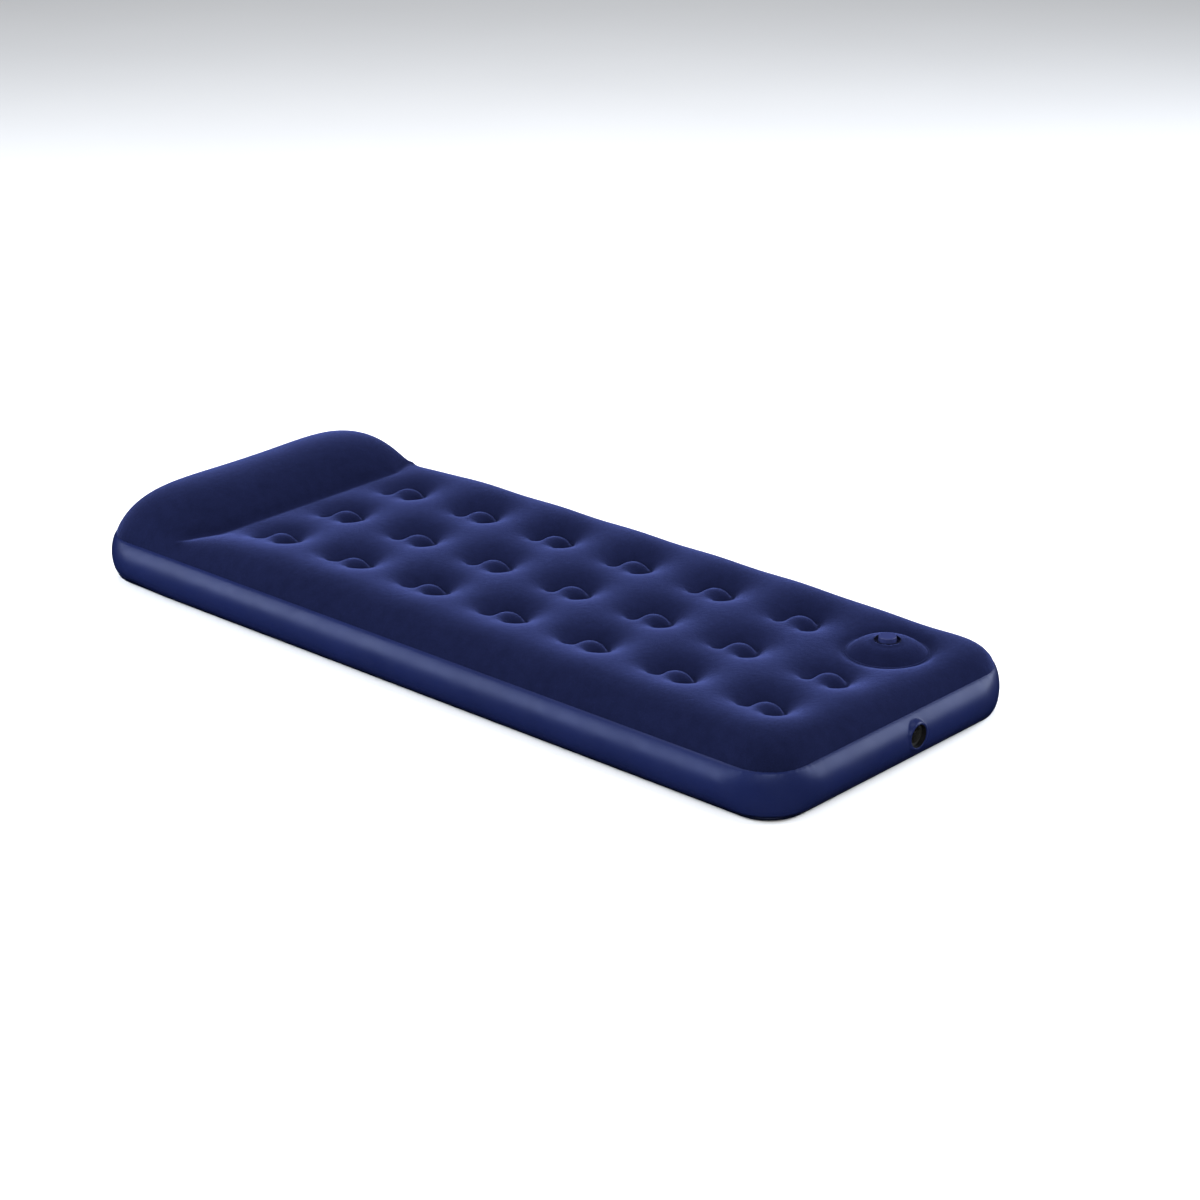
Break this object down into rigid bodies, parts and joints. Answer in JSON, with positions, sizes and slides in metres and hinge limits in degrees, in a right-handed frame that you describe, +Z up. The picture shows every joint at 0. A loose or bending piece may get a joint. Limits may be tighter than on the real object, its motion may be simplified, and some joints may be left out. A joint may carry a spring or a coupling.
{
  "type": "air mattress",
  "caption": "Flocked single air mattress with a dimpled coil-beam bed, a built-in pillow, a corner foot pump with a cap, and a screw valve in the foot-end wall.",
  "frame": {"origin": "middle of the bed's footprint, on the floor plane", "axes": "+Z up, +Y along the bed towards the pillow, +X across the bed towards the side with the foot pump"},
  "size_m": [0.7498, 1.8499, 0.2],
  "materials": {
    "flocked_top": "flocked velvet",
    "wall_pvc": "satin",
    "base_pvc": "satin",
    "inner_pvc": "satin",
    "foam": "matte",
    "moulded_pvc": "satin",
    "cap_pvc": "satin",
    "valve_black": "satin",
    "seal_rubber": "matte"
  },
  "bodies": {
    "mattress": {"top_sheet": "flocked_top", "side_wall": "wall_pvc", "bottom_sheet": "base_pvc", "coil_beam_1_1": "inner_pvc", "coil_beam_1_2": "inner_pvc", "coil_beam_1_3": "inner_pvc", "coil_beam_2_1": "inner_pvc", "coil_beam_2_2": "inner_pvc", "coil_beam_2_3": "inner_pvc", "coil_beam_3_1": "inner_pvc", "coil_beam_3_2": "inner_pvc", "coil_beam_3_3": "inner_pvc", "coil_beam_4_1": "inner_pvc", "coil_beam_4_2": "inner_pvc", "coil_beam_4_3": "inner_pvc", "coil_beam_5_1": "inner_pvc", "coil_beam_5_2": "inner_pvc", "coil_beam_5_3": "inner_pvc", "coil_beam_6_1": "inner_pvc", "coil_beam_6_2": "inner_pvc", "coil_beam_6_3": "inner_pvc", "coil_beam_7_1": "inner_pvc", "coil_beam_7_2": "inner_pvc", "pillow_baffle": "inner_pvc", "pump_dome": "flocked_top", "pump_foam": "foam", "pump_chamber_wall": "inner_pvc", "pump_chamber_floor": "inner_pvc", "pump_outlet_seat": "moulded_pvc", "valve_flange": "moulded_pvc"},
    "pump_top": {"pump_intake_seat": "moulded_pvc"},
    "pump_lid": {"pump_cap": "cap_pvc"},
    "outlet_flap": {"pump_outlet_flap": "seal_rubber"},
    "screw_ring": {"valve_gasket": "seal_rubber"},
    "screw_insert": {"valve_insert": "valve_black"},
    "one_way_disc": {"valve_diaphragm": "seal_rubber"}
  },
  "joints": [
    {"name": "pump_press", "type": "slide", "parent": "mattress", "child": "pump_top", "axis": [0, 0, -1], "range_m": [0, 0.08], "stiffness_N_per_m": 1500, "deforming": ["pump_dome", "pump_foam"]},
    {"name": "pump_cap_lift", "type": "slide", "parent": "pump_top", "child": "pump_lid", "axis": [0, 0, 1], "range_m": [0, 0.03]},
    {"name": "outlet_flap_swing", "type": "hinge", "parent": "mattress", "child": "outlet_flap", "pos_m": [0.0935, -0.7363, 0.0515], "axis": [0, 1, 0], "range_deg": [0, 40], "stiffness_Nm_per_rad": 0.0005},
    {"name": "valve_insert_turn", "type": "hinge", "parent": "mattress", "child": "screw_ring", "pos_m": [0.031, -0.925, 0.062], "axis": [0, -1, 0], "range_deg": [0, 540]},
    {"name": "valve_insert_travel", "type": "slide", "parent": "screw_ring", "child": "screw_insert", "axis": [0, -1, 0], "range_m": [0, 0.006]},
    {"name": "valve_disc_travel", "type": "slide", "parent": "screw_insert", "child": "one_way_disc", "axis": [0, 1, 0], "range_m": [0, 0.004], "stiffness_N_per_m": 20}
  ],
  "couplings": [
    {"joint": "valve_insert_travel", "follows": "valve_insert_turn", "m_per_rad": 0.00063662}
  ]
}
